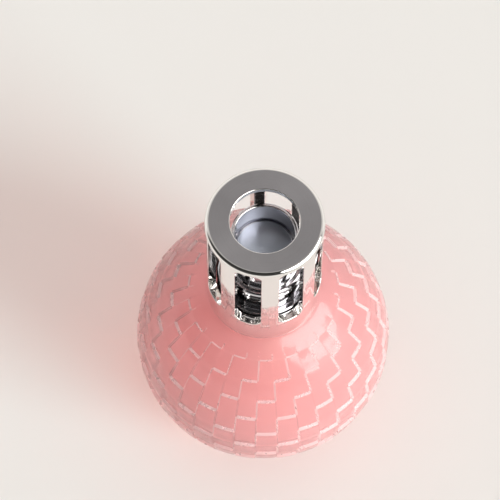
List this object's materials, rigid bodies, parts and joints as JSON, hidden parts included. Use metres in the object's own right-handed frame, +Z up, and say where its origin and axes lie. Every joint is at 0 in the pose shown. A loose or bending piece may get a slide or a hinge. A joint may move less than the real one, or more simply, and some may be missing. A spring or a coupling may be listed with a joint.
{
  "type": "catalytic fragrance lamp",
  "caption": "Ball-shaped pink glass fragrance lamp with a checkered relief, a porous burner and wick, a snuffer cap and a slotted metal crown.",
  "frame": {"origin": "centre of the flask's flat base, on the surface it stands on", "axes": "+Z up along the lamp's axis of revolution, from the base to the crown; the pictured front faces -Y"},
  "size_m": [0.0934, 0.0934, 0.138],
  "materials": {
    "pink_glass": "satin tinted glass with a raised checkered relief",
    "polished_metal": "mirror polished plating",
    "satin_metal": "satin, turned",
    "satin_disc": "fine satin",
    "ferrule_metal": "semi-bright",
    "porous_ceramic": "porous fired ceramic",
    "catalyst_ceramic": "porous ceramic with a dark catalyst coating",
    "cotton": "braided cotton",
    "grey_seal": "matte",
    "clear_seal": "matte silicone"
  },
  "bodies": {
    "flask": {"glass_flask": "pink_glass", "neck_seal": "grey_seal", "neck_collar": "polished_metal"},
    "burner": {"burner_ferrule": "ferrule_metal", "burner_stone": "porous_ceramic", "catalyst_core": "catalyst_ceramic", "wick": "cotton"},
    "snuffer": {"snuffer_shell": "polished_metal", "snuffer_disc": "satin_disc", "snuffer_liner": "clear_seal"},
    "crown": {"crown_tube": "polished_metal", "crown_top_ring": "satin_metal"}
  },
  "joints": [
    {"name": "burner_lift", "type": "slide", "parent": "flask", "child": "burner", "axis": [0, 0, 1], "range_m": [0, 0.095]},
    {"name": "snuffer_lift", "type": "slide", "parent": "burner", "child": "snuffer", "axis": [0, 0, 1], "range_m": [0, 0.03]},
    {"name": "crown_lift", "type": "slide", "parent": "snuffer", "child": "crown", "axis": [0, 0, 1], "range_m": [0, 0.055]}
  ]
}
